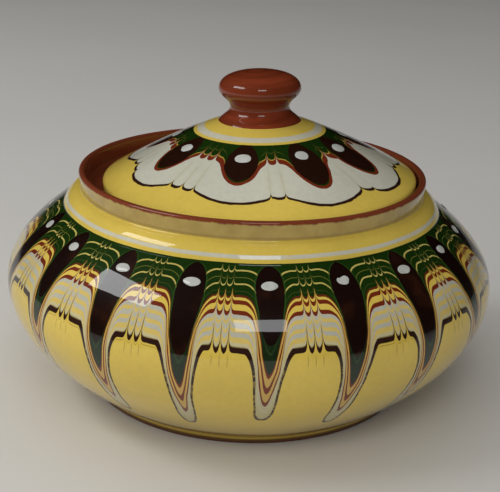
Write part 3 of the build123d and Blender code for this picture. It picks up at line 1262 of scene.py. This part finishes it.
@dataclass
class SlipDots:
    """Raised pale dots, one on each dark drop.

    Attributes:
        name: the piece's name.
        repeat: how they stand round the axis.
        outline: the surface they lie on.
        measure: how far along that surface.
        width: size round the axis, in millimetres.
        length: size along the surface, in millimetres.
        height: how proud a dot stands, in millimetres.
        drift: how far a dot may slip along the wall, in millimetres.
        shake: how uneven its outline is, in millimetres.
        seed: which shapes the dots have.
    """

    name: str
    repeat: Repeat
    outline: Outline
    measure: float
    width: float
    length: float
    height: float = 0.3
    drift: float = 0.7
    shake: float = 1.6
    seed: int = 4

    def tree(self) -> GeometryTree:
        """Makes the tree that sets the dots round the axis.

        Returns:
            The tree, with its inputs named.
        """
        net = GeometryTree("slip dots")
        count = net.number("Count", "NodeSocketInt")
        phase = net.number("Phase")
        stray = net.number("Stray")
        waves = net.number("Waves")
        start = net.number("Start")
        radius = net.number("Radius")
        level = net.number("Level")
        slope = net.number("Slope")
        size = net.number("Size", "NodeSocketVector")
        uneven = net.number("Uneven")
        seed = net.number("Seed", "NodeSocketInt")
        finish = net.number("Material", "NodeSocketMaterial")
        index = Num(net, net.add("GeometryNodeInputIndex").outputs[0])
        around = (2 * math.pi) / count
        angle = phase + (index + stray * (index * waves * around + start).sine()) * around
        ups = net.add("FunctionNodeRandomValue", data_type="FLOAT")
        net.feed(ups, Min=-1.0, Max=1.0, ID=index, Seed=seed)
        drift = Num(net, ups.outputs[1]) * uneven
        out = radius + drift * slope.cosine() * (self.drift * MM)
        high_up = level - drift * slope.sine() * (self.drift * MM)
        spot = net.vector(angle.sine() * out, angle.cosine() * out * -1.0, high_up)
        points = net.add("GeometryNodePoints")
        net.feed(points, Count=count, Position=spot)
        blob = net.add("GeometryNodeMeshIcoSphere")
        net.feed(blob, Radius=1.0, Subdivisions=4)
        grow = net.add("FunctionNodeRandomValue", data_type="FLOAT")
        net.feed(grow, Min=0.86, Max=1.12, ID=index, Seed=seed)
        wide, long, high = net.parts(size.socket)
        scale = net.vector(wide * Num(net, grow.outputs[1]), long, high)
        turn = net.vector(slope, 0.0, angle)
        place = net.add("GeometryNodeInstanceOnPoints")
        net.feed(place, Points=points.outputs[0], Instance=blob.outputs[0], Rotation=turn, Scale=scale)
        real = net.add("GeometryNodeRealizeInstances")
        net.feed(real, Geometry=place.outputs[0])
        here = net.add("GeometryNodeInputPosition").outputs[0]
        cloud = net.add("ShaderNodeTexNoise", noise_dimensions="3D")
        net.feed(cloud, Vector=here, Scale=150.0, Detail=1.0)
        shake = net.add("ShaderNodeVectorMath", operation="SUBTRACT")
        net.join(cloud.outputs["Color"], shake.inputs[0])
        net.join((0.5, 0.5, 0.5), shake.inputs[1])
        small = net.add("ShaderNodeVectorMath", operation="SCALE")
        net.join(shake.outputs[0], small.inputs[0])
        net.join(uneven * (self.shake * MM), small.inputs["Scale"])
        sideways, forward, _ = net.parts(small.outputs[0])
        moved = net.add("GeometryNodeSetPosition")
        net.feed(moved, Geometry=real.outputs[0], Offset=net.vector(sideways, forward, 0.0))
        net.close(moved.outputs[0], finish)
        return net

    def build(self, wheel: Wheel) -> bpy.types.Object:
        """Makes the dots.

        Args:
            wheel: how the form they lie on stands.

        Returns:
            The piece.
        """
        (radius, level), normal = self.outline.at(self.measure)
        base = bpy.data.objects.new(f"{self.name}_base", bpy.data.meshes.new(f"{self.name}_base"))
        bpy.context.scene.collection.objects.link(base)
        values = {
            "Count": self.repeat.count,
            "Phase": math.radians(self.repeat.phase),
            "Stray": self.repeat.stray,
            "Waves": float(self.repeat.waves),
            "Start": self.repeat.start,
            "Radius": radius * MM,
            "Level": level * MM,
            "Slope": math.atan2(normal[0], normal[1]),
            "Size": (self.width / 2 * MM, self.length / 2 * MM, self.height * MM),
            "Uneven": 1.0,
            "Seed": self.seed,
            "Material": DotSlip().material(),
        }
        piece = self.tree().run(base, self.name, values)
        piece.data.transform(wheel.stand())
        outward(piece, 60.0)
        return piece


@dataclass
class Pot:
    """The thrown pot: clay with its ledge and foot, and the slip over its outside.

    Sizes are in millimetres and angles in degrees. Points are radius and height.

    Attributes:
        belly_radius: radius at the belly.
        rim_height: height of the rim.
        glaze_foot: height of the step above the foot.
        belly_height: height of the belly.
        foot_radius: radius of the foot.
        foot_step: how far the wall stands out over the foot.
        foot_slope: how steeply the wall leaves the foot.
        shoulder: where the roll meets the shoulder.
        shoulder_slope: how steep the shoulder is there.
        roll_end: where the roll meets the collar.
        collar_radius: radius at the collar's foot.
        rim_radius: radius of the rim.
        collar_wall: thickness of the collar.
        ledge_height: height of the lid's ledge.
        ledge_radius: radius of the ledge's lip.
        wall: thickness of the clay.
        slip: thickness of slip and glaze.
        floor: height of the floor inside.
        wheel: how the form comes off the wheel.
        pattern: the slip over it.
        collar_taper: how much wider the collar is above the roll.
        roll_slopes: slopes at which the roll starts and ends.
        crease: length of the crisp turn below the roll.
        shoulder_measure: what the pattern reads at the shoulder.
        base: height of the recess under the foot ring.
        bare_edge: height of the glaze's lower edge.
        dot_measure: where the dots lie down the wall.
        dot_size: their width and length.
    """

    belly_radius: float
    rim_height: float
    glaze_foot: float
    belly_height: float = 56.0
    foot_radius: float = 81.5
    foot_step: float = 2.5
    foot_slope: float = 37.0
    shoulder: Point = (93.0, 92.1)
    shoulder_slope: float = 33.0
    roll_end: Point = (85.3, 99.7)
    collar_radius: float = 84.3
    rim_radius: float = 85.5
    collar_wall: float = 3.5
    ledge_height: float = 99.5
    ledge_radius: float = 70.1
    wall: float = 6.0
    slip: float = 0.8
    floor: float = 8.5
    wheel: Wheel = Wheel(wobble=0.22, seed=1.0)
    pattern: PotSlip = PotSlip()
    collar_taper: float = 0.25
    roll_slopes: Point = (-12.0, -68.0)
    crease: float = 0.12
    shoulder_measure: float = 20.4
    base: float = 2.5
    bare_edge: float = 1.2
    dot_measure: float = 30.2
    dot_size: Point = (6.9, 4.5)

    @property
    def crest(self) -> float:
        """Height at which the rim's rounding ends."""
        return self.rim_height - self.collar_wall / 2

    @property
    def top(self) -> float:
        """Radius of the rim's highest line."""
        return self.rim_radius - self.collar_wall / 2

    @classmethod
    def from_frame(cls) -> "Pot":
        """Takes the pot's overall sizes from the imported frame."""
        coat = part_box("pot_slip_coat")
        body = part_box("pot_body")
        return cls(coat[1][0] / MM, body[1][2] / MM, coat[0][2] / MM)

    def shifted(self, point: Point, angle: float, level: float) -> Point:
        """Moves a point along the normal of a wall that climbs at this angle."""
        run, rise = math.cos(math.radians(angle)), math.sin(math.radians(angle))
        return point[0] + level * rise, point[1] - level * run

    def wall_points(self, level: float) -> tuple[Point, Point, Point]:
        """Foot step, belly and shoulder at a level above or below the finished surface."""
        return (
            self.shifted((self.foot_radius + self.foot_step, self.glaze_foot), self.foot_slope, level),
            self.shifted((self.belly_radius, self.belly_height), 90.0, level),
            self.shifted(self.shoulder, 180.0 - self.shoulder_slope, level),
        )

    def descend(self, outline: Outline, level: float, steps: int) -> Outline:
        """Carries an outline from the crest's outer side down to the foot step."""
        foot, belly, shoulder = self.wall_points(level)
        roll = self.shifted(self.roll_end, 180.0 - self.shoulder_slope, level)
        outline.line(self.rim_radius + level, self.crest)
        outline.line(self.collar_radius + self.collar_taper + level, self.roll_end[1] + 1.8, max(2, steps // 8))
        outline.soft((self.collar_radius + level, self.roll_end[1] + 0.5 + level / 2), roll, 8)
        outline.sweep(shoulder, *self.roll_slopes, steps // 3)
        slope = math.radians(self.shoulder_slope)
        outline.line(shoulder[0] + self.crease * math.cos(slope), shoulder[1] - self.crease * math.sin(slope))
        outline.sweep(belly, -self.shoulder_slope, -90.0, steps)
        outline.sweep(foot, -90.0, self.foot_slope - 180.0, steps)
        return outline

    def coat_outline(self) -> Outline:
        """Outline of the slip coat, from the top of the crest down and back inside it."""
        outline = Outline().start(self.top, self.rim_height)
        outline.soft((self.rim_radius, self.rim_height), (self.rim_radius, self.crest), 8)
        self.descend(outline, 0.0, 56)
        shoulder = outline.points.index(self.wall_points(0.0)[2])
        outline.shift_measure(shoulder, self.shoulder_measure)
        foot = self.foot_radius
        outline.soft((foot + 0.7, self.glaze_foot - 0.7), (foot + 0.45, self.glaze_foot - 2.0), 6)
        outline.line(foot + 0.2, 1.3, 2)
        outline.line(foot - 0.4, self.bare_edge)
        outline.line(foot - 0.4, self.glaze_foot)
        for radius, height in self.inner_line():
            outline.line(radius, height)
        outline.line(self.top, self.rim_height - self.slip)
        outline.line(self.top, self.rim_height)
        return outline

    def inner_line(self) -> list[Point]:
        """Points where clay and slip meet, from the foot up to the crest."""
        guide = Outline().start(self.rim_radius - self.slip, self.crest)
        self.descend(guide, -self.slip, 20)
        return list(reversed(guide.points[1:]))

    def clay_outline(self) -> Outline:
        """Outline of the clay: foot, wall under the slip, crest, ledge, inside and floor."""
        inner = self.rim_radius - self.collar_wall
        level = -self.slip - self.wall
        foot, belly, shoulder = self.wall_points(level)
        outline = Outline().start(0.0, self.base)
        outline.line(66.0, self.base, 20)
        outline.soft((70.0, self.base), (72.0, 0.6), 6)
        outline.soft((72.4, 0.0), (73.4, 0.0), 4)
        outline.line(self.foot_radius - 1.0, 0.0, 4)
        outline.soft((self.foot_radius, 0.0), (self.foot_radius, 0.9), 4)
        outline.line(self.foot_radius - 0.4, self.bare_edge)
        outline.line(self.foot_radius - 0.4, self.glaze_foot)
        for radius, height in self.inner_line():
            outline.line(radius, height)
        outline.line(self.top, self.rim_height - self.slip)
        outline.line(self.top, self.rim_height)
        outline.soft((inner, self.rim_height), (inner, self.crest), 8)
        outline.line(inner, self.ledge_height + 1.6, 6)
        outline.soft((inner, self.ledge_height), (inner - 1.6, self.ledge_height), 5)
        outline.line(self.ledge_radius + 1.2, self.ledge_height, 4)
        lip, ledge = self.ledge_radius, self.ledge_height
        outline.soft((lip, ledge), (lip, ledge - 1.4), 5)
        outline.soft((lip, ledge - 4.5), (lip + 4.0, ledge - 6.0), 6)
        outline.line(*shoulder, 6)
        outline.sweep(belly, -self.shoulder_slope, -90.0, 30)
        outline.sweep(foot, -90.0, self.foot_slope - 180.0, 30)
        outline.sweep((foot[0] - 14.0, self.floor), self.foot_slope - 180.0, 180.0, 10)
        outline.line(0.0, self.floor, 24)
        return outline

    def build(self) -> None:
        """Makes the pot's pieces and puts them on its body."""
        outline = self.coat_outline()
        clay = self.wheel.turn("pot_clay", self.clay_outline(), ClayGlaze().material())
        coat = self.wheel.turn("pot_slip_and_glaze", outline, self.pattern.material())
        pale = SlipDots("pot_slip_dots", self.pattern.tongues, outline, self.dot_measure, *self.dot_size)
        dots = pale.build(self.wheel)
        settle(clay, "pot", "terracotta", "pot_body")
        settle(coat, "pot", "yellow_slip", "pot_slip_coat", "pot_ring_line", "pot_dark_drops")
        settle(dots, "pot", "pale_slip", "pot_pale_dots")


@dataclass
class Lid:
    """The drop-in lid: domed clay, the slip over it and the knob.

    Sizes are in millimetres and angles in degrees. Points are radius and height; the knob's heights are
    above its seat.

    Attributes:
        centre: how far the axis stands towards +X.
        radius: radius of the lid.
        foot: height of its lower edge.
        top: height of the knob.
        edge_height: how high the dome's edge stands over the foot.
        edge_round: radius of the edge's rounding.
        ring: a point on the dome near the pale ring.
        ring_slope: how steep the dome is there.
        crown: where the dome meets the knob.
        crown_slope: how steep the dome is there.
        edge_slope: how steep the dome is at its edge.
        wall: thickness of the clay.
        slip: thickness of slip and glaze.
        lean: how far the lid leans.
        ride_up: how far its high side rides up.
        waist: narrowest place of the knob.
        lip: lower lip of the knob's cap.
        cap: widest place of the cap.
        pattern: the slip over it.
        knob_rise: how far the leaning knob stands over the level one.
        dot_measure: where the dots lie out from the axis.
        dot_size: their width and length.
        never_bare: height below which clay would be bare, below any of it.
    """

    centre: float
    radius: float
    foot: float
    top: float
    edge_height: float = 7.6
    edge_round: float = 2.6
    ring: Point = (32.4, 128.5)
    ring_slope: float = 24.0
    crown: Point = (20.2, 133.3)
    crown_slope: float = 20.0
    edge_slope: float = 30.0
    wall: float = 6.0
    slip: float = 0.8
    lean: float = 1.6
    ride_up: float = 2.16
    waist: Point = (14.5, 7.5)
    lip: Point = (19.2, 13.9)
    cap: Point = (20.1, 16.3)
    pattern: LidSlip = LidSlip()
    knob_rise: float = 1.0
    dot_measure: float = 41.2
    dot_size: Point = (7.4, 6.0)
    never_bare: float = -9.0

    @classmethod
    def from_frame(cls) -> "Lid":
        """Takes the lid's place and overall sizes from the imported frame."""
        low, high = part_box("lid_dome")
        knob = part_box("lid_knob")
        middle = (low[0] + high[0]) / 2
        return cls(middle / MM - 0.4, (high[0] - low[0]) / 2 / MM, low[2] / MM, knob[1][2] / MM)

    @property
    def wheel(self) -> Wheel:
        """How the lid stands: pushed to +X and riding up a little on that side."""
        pivot = (self.centre, 0.0, self.foot)
        return Wheel(224, 0.2, 5.0, (self.centre, 0.0, 0.0), self.lean, pivot)

    def dome(self, level: float) -> tuple[Point, Point, Point]:
        """Crown, ring and edge of the dome at a level above or below its finished surface."""
        places = (self.crown, self.ring, (self.radius - self.edge_round, self.foot + self.edge_height))
        slopes = (self.crown_slope, self.ring_slope, self.edge_slope)
        return tuple(
            (r + level * math.sin(math.radians(a)), z + level * math.cos(math.radians(a)))
            for (r, z), a in zip(places, slopes)
        )

    def over(self, outline: Outline, level: float, steps: int) -> Outline:
        """Carries an outline from the crown out to the edge of the dome."""
        _, ring, edge = self.dome(level)
        outline.sweep(ring, -self.crown_slope, -self.ring_slope, steps // 4)
        outline.sweep(edge, -self.ring_slope, -self.edge_slope, steps)
        return outline

    def coat_outline(self) -> Outline:
        """Outline of the slip over the dome; its measure is the distance from the axis."""
        crown, _, _ = self.dome(0.0)
        outline = self.over(Outline().start(*crown), 0.0, 88)
        outline.measures = [radius for radius, _ in outline.points]
        level = self.foot + self.edge_height - self.edge_round
        outline.sweep((self.radius, level), -self.edge_slope, -90.0, 10)
        outline.line(self.radius, self.foot + self.ride_up + 1.0, 4)
        outline.line(self.radius - self.slip, self.foot + self.ride_up + 1.0)
        for radius, height in self.under_line():
            outline.line(radius, height)
        outline.line(*crown)
        return outline

    def under_line(self) -> list[Point]:
        """Points where clay and slip meet, from the edge up to the crown."""
        guide = self.over(Outline().start(*self.dome(-self.slip)[0]), -self.slip, 24)
        level = self.foot + self.edge_height - self.edge_round
        guide.sweep((self.radius - self.slip, level), -self.edge_slope, -90.0, 6)
        return list(reversed(guide.points))

    def clay_outline(self) -> Outline:
        """Outline of the clay: foot, edge under the slip, crown and the hollow underneath."""
        crown, _, edge = self.dome(-self.slip - self.wall)
        foot = self.foot + self.ride_up
        outline = Outline().start(edge[0], foot + 0.8)
        outline.soft((edge[0], foot), (edge[0] + 0.8, foot), 3)
        outline.line(self.radius - 1.4, foot, 4)
        outline.soft((self.radius, foot), (self.radius, foot + 0.8), 4)
        outline.line(self.radius, foot + 1.0)
        outline.line(self.radius - self.slip, foot + 1.0)
        for radius, height in self.under_line():
            outline.line(radius, height)
        outline.line(0.0, outline.points[-1][1], 8)
        outline.line(0.0, crown[1])
        outline.line(*crown, 8)
        self.over(outline, -self.slip - self.wall, 60)
        outline.line(edge[0], foot + 0.8, 2)
        return outline

    def knob_outline(self) -> Outline:
        """Outline of the knob: flared foot, narrow waist and a cap with a crisp lower lip."""
        seat = self.dome(-self.slip)[0]
        base = seat[1]
        outline = Outline().start(0.0, base)
        outline.line(*seat, 6)
        outline.line(*self.crown)
        outline.sweep((self.waist[0], base + self.waist[1]), 128.0, 90.0, 16)
        lip = (self.lip[0], base + self.lip[1])
        outline.sweep((lip[0] - 0.5, lip[1] - 0.55), 90.0, 46.0, 14)
        outline.soft(lip, (lip[0] + 0.28, lip[1] + 0.6), 5)
        outline.sweep((self.cap[0], base + self.cap[1]), 66.0, 90.0, 6)
        outline.sweep((0.0, self.top + self.knob_rise), 90.0, 180.0, 34)
        return outline

    def build(self) -> None:
        """Makes the lid's pieces and puts them on its body."""
        outline = self.coat_outline()
        inside = ClayGlaze("glazed_clay_lid", bare_below=self.never_bare)
        clay = self.wheel.turn("lid_clay", self.clay_outline(), inside.material())
        coat = self.wheel.turn("lid_slip_and_glaze", outline, self.pattern.material())
        finish = ClayGlaze("glazed_clay_knob", Tint.KNOB, Glaze(specks=0.6, seed=8.0), self.never_bare)
        knob = self.wheel.turn("lid_turned_knob", self.knob_outline(), finish.material())
        pale = SlipDots("lid_slip_dots", self.pattern.petals, outline, self.dot_measure, *self.dot_size, seed=9)
        dots = pale.build(self.wheel)
        settle(clay, "lid", "terracotta", "lid_dome")
        settle(coat, "lid", "yellow_slip", "lid_slip_coat", "lid_ring_line", "lid_dark_drops")
        settle(knob, "lid", "knob_glaze", "lid_knob")
        settle(dots, "lid", "pale_slip", "lid_pale_dots")


def settle(piece: bpy.types.Object, body: str, slot: str, *nodes: str) -> None:
    """Puts a piece on its body in place of CAD nodes, and reports it.

    Args:
        piece: the finished piece.
        body: the body that it moves with.
        slot: the record's material slot; not used.
        nodes: the CAD nodes that it stands for.
    """
    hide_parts(*nodes)
    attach(piece, body)
    faces = sum(len(polygon.vertices) - 2 for polygon in piece.data.polygons)
    LOG.info("%s rides on %s, %d triangles", piece.name, body, faces)


# The room


@dataclass(frozen=True)
class Window:
    """A soft bright panel, aimed at the pot.

    Attributes:
        name: the light's name.
        towards: direction it stands in, from the pot.
        distance: how far off it is, in metres.
        width: its width, in metres.
        height: its height, in metres.
        power: its power, in watts.
        tint: its colour.
        mirrored: whether the glaze mirrors it.
        roll: how far it is turned in its own plane, in degrees.
    """

    name: str
    towards: tuple[float, float, float]
    distance: float
    width: float
    height: float
    power: float
    tint: Colour = (1.0, 1.0, 1.0)
    mirrored: bool = True
    roll: float = 0.0

    def hang(self, aim: Vector) -> None:
        """Hangs the light.

        Args:
            aim: the point that it faces.
        """
        light = bpy.data.lights.new(self.name, "AREA")
        light.shape = "RECTANGLE"
        light.size = self.width
        light.size_y = self.height
        light.energy = self.power
        light.color = self.tint
        lamp = bpy.data.objects.new(self.name, light)
        away = Vector(self.towards).normalized()
        lamp.location = aim + away * self.distance
        turned = Matrix.Rotation(math.radians(self.roll), 4, "Z")
        lamp.rotation_euler = (away.to_track_quat("Z", "Y").to_matrix().to_4x4() @ turned).to_euler()
        lamp.visible_glossy = self.mirrored
        bpy.context.scene.collection.objects.link(lamp)


@dataclass
class Room:
    """Table, daylight and camera.

    Attributes:
        windows: the lights.
        sky: colour of the room's own light.
        sky_strength: how strong that is.
        camera_distance: how far off the camera stands, in millimetres.
        camera_pitch: how far it looks down on the pot's foot, in degrees.
        camera_roll: how far it is turned, in degrees.
        focal_share: focal length, as a share of the sensor's width.
        origin_down: how far below the middle the pot's foot lies, as a share of the width.
        sensor: width of the sensor, in millimetres.
        aim_height: height that the lights face, in metres.
        table_reach: half the table's width, in metres.
    """

    windows: tuple[Window, ...] = (
        Window("window_left", (-0.67, -0.11, 0.74), 1.25, 0.62, 0.27, 3.0, (0.97, 0.98, 1.0), roll=23.0),
        Window("window_front", (0.085, -0.68, 0.73), 1.25, 0.42, 0.27, 1.5, (0.97, 0.98, 1.0)),
        Window("wall_left", (-1.0, 0.12, 0.42), 2.2, 2.2, 2.0, 11.5, (1.0, 0.985, 0.96), False),
        Window("ceiling", (-0.25, 0.1, 1.0), 1.9, 2.6, 2.6, 11.0, (1.0, 0.99, 0.97), False),
        Window("front_fill", (-0.35, -1.0, 0.5), 2.2, 2.2, 1.6, 22.5, (1.0, 0.99, 0.97), False),
    )
    sky: Colour = (0.62, 0.62, 0.62)
    sky_strength: float = 0.36
    camera_distance: float = 586.0
    camera_pitch: float = 26.08
    camera_roll: float = 1.95
    focal_share: float = 2.2
    origin_down: float = 0.2391
    sensor: float = 36.0
    aim_height: float = 0.075
    table_reach: float = 20.0

    def lay_table(self) -> None:
        """Lays a plain pale floor under the pot."""
        mesh = bpy.data.meshes.new("table")
        work = bmesh.new()
        bmesh.ops.create_grid(work, x_segments=24, y_segments=24, size=self.table_reach)
        work.to_mesh(mesh)
        work.free()
        mesh.materials.append(TableFinish().material())
        table = bpy.data.objects.new("table", mesh)
        bpy.context.scene.collection.objects.link(table)

    def light(self) -> None:
        """Hangs the windows and sets the room's own soft light."""
        for window in self.windows:
            window.hang(Vector((0.0, 0.0, self.aim_height)))
        world = bpy.data.worlds.new("room")
        world.use_nodes = True
        back = world.node_tree.nodes["Background"]
        back.inputs["Color"].default_value = (*self.sky, 1.0)
        back.inputs["Strength"].default_value = self.sky_strength
        world.cycles_visibility.glossy = False
        bpy.context.scene.world = world
        bpy.context.scene.view_settings.view_transform = "Standard"

    def set_camera(self) -> None:
        """Stands the camera in front and above, a little turned."""
        lens = bpy.data.cameras.new("camera")
        lens.sensor_width = self.sensor
        lens.lens = self.sensor * self.focal_share
        lens.clip_start = 0.01
        camera = bpy.data.objects.new("camera", lens)
        pitch = math.radians(self.camera_pitch)
        down = math.atan(self.origin_down / self.focal_share)
        away = self.camera_distance * MM
        tilt = pitch - down
        forward = Vector((0.0, math.cos(tilt), -math.sin(tilt)))
        up = Vector((0.0, math.sin(tilt), math.cos(tilt)))
        right = Vector((1.0, 0.0, 0.0))
        roll = math.radians(self.camera_roll)
        turned_right = right * math.cos(roll) + up * math.sin(roll)
        turned_up = up * math.cos(roll) - right * math.sin(roll)
        spin = Matrix((turned_right, turned_up, -forward)).transposed().to_4x4()
        stand = Matrix.Translation((0.0, -away * math.cos(pitch), away * math.sin(pitch)))
        camera.matrix_world = stand @ spin
        bpy.context.scene.collection.objects.link(camera)
        bpy.context.scene.camera = camera

    def build(self) -> None:
        """Sets up everything round the pot."""
        self.lay_table()
        self.light()
        self.set_camera()
        LOG.info("room is ready")


def main() -> None:
    """Builds the pot, its lid and the room round them."""
    logging.basicConfig(level=logging.INFO, format="%(name)s: %(message)s")
    Pot.from_frame().build()
    Lid.from_frame().build()
    Room().build()


if __name__ == "__main__":
    main()
